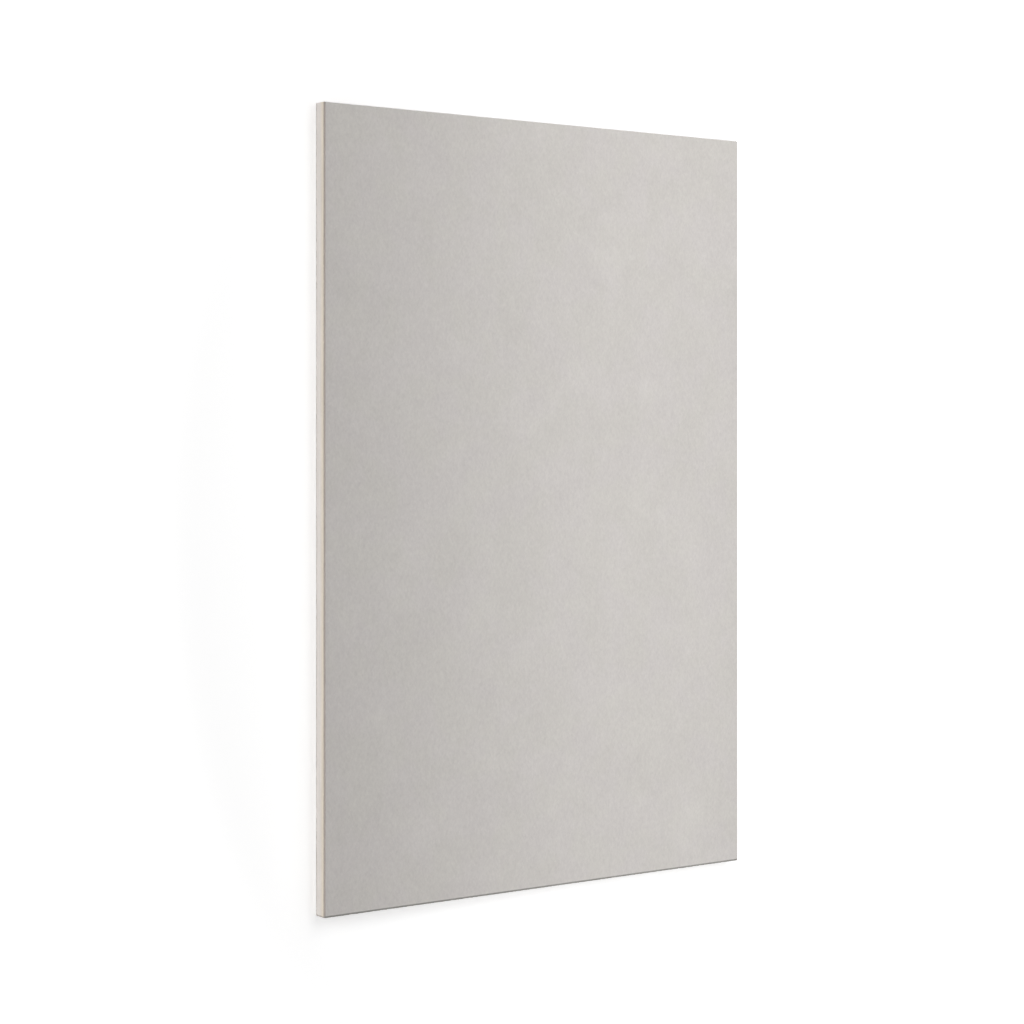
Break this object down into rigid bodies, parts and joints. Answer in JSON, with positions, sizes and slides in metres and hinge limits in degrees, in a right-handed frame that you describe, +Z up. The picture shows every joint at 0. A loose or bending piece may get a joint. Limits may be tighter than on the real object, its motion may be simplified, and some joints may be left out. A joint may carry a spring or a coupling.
{
  "type": "drywall sheet",
  "caption": "Flat drywall panel for lining or patching a stud wall: a gypsum core between a grey face liner and a back liner, cut square on every edge.",
  "frame": {"origin": "centre of the underside, on the outer face of the back liner", "axes": "+X across the panel's width, +Y along its length, +Z up through its thickness and out of the face liner"},
  "size_m": [0.4064, 0.6096, 0.0127],
  "materials": {
    "gypsum": "matte",
    "face_liner": "matte",
    "back_liner": "matte"
  },
  "bodies": {
    "root": {"gypsum_core": "gypsum", "face_paper": "face_liner", "back_paper": "back_liner"}
  },
  "joints": []
}
